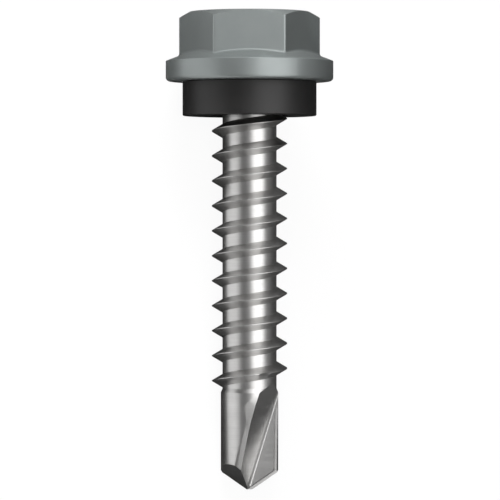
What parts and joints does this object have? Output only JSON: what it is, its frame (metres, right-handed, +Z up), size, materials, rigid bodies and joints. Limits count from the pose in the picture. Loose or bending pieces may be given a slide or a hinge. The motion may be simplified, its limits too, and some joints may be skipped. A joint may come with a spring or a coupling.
{
  "type": "self drilling screw",
  "caption": "Self drilling screw with a painted hexagon flange head, a black rubber sealing washer, a coarse thread and a fluted drill point.",
  "frame": {"origin": "centre of the bounding box's underside, on the surface that the screw lies on", "axes": "+Y towards the head, with the screw's axis in the YZ plane and leaning up towards the head; +Z up, away from the surface that the screw lies on; +X to the right. The screw is turned about its axis so that the direction 24 degrees to the right of the pictured front faces up, as it comes to rest"},
  "size_m": [0.0106, 0.0306, 0.0107],
  "materials": {
    "steel": "bright plated steel, with the head and flange painted grey-green, satin",
    "rubber": "black sealing rubber, matt"
  },
  "bodies": {
    "root": {"screw": "steel", "sealing_washer": "rubber"}
  },
  "joints": []
}
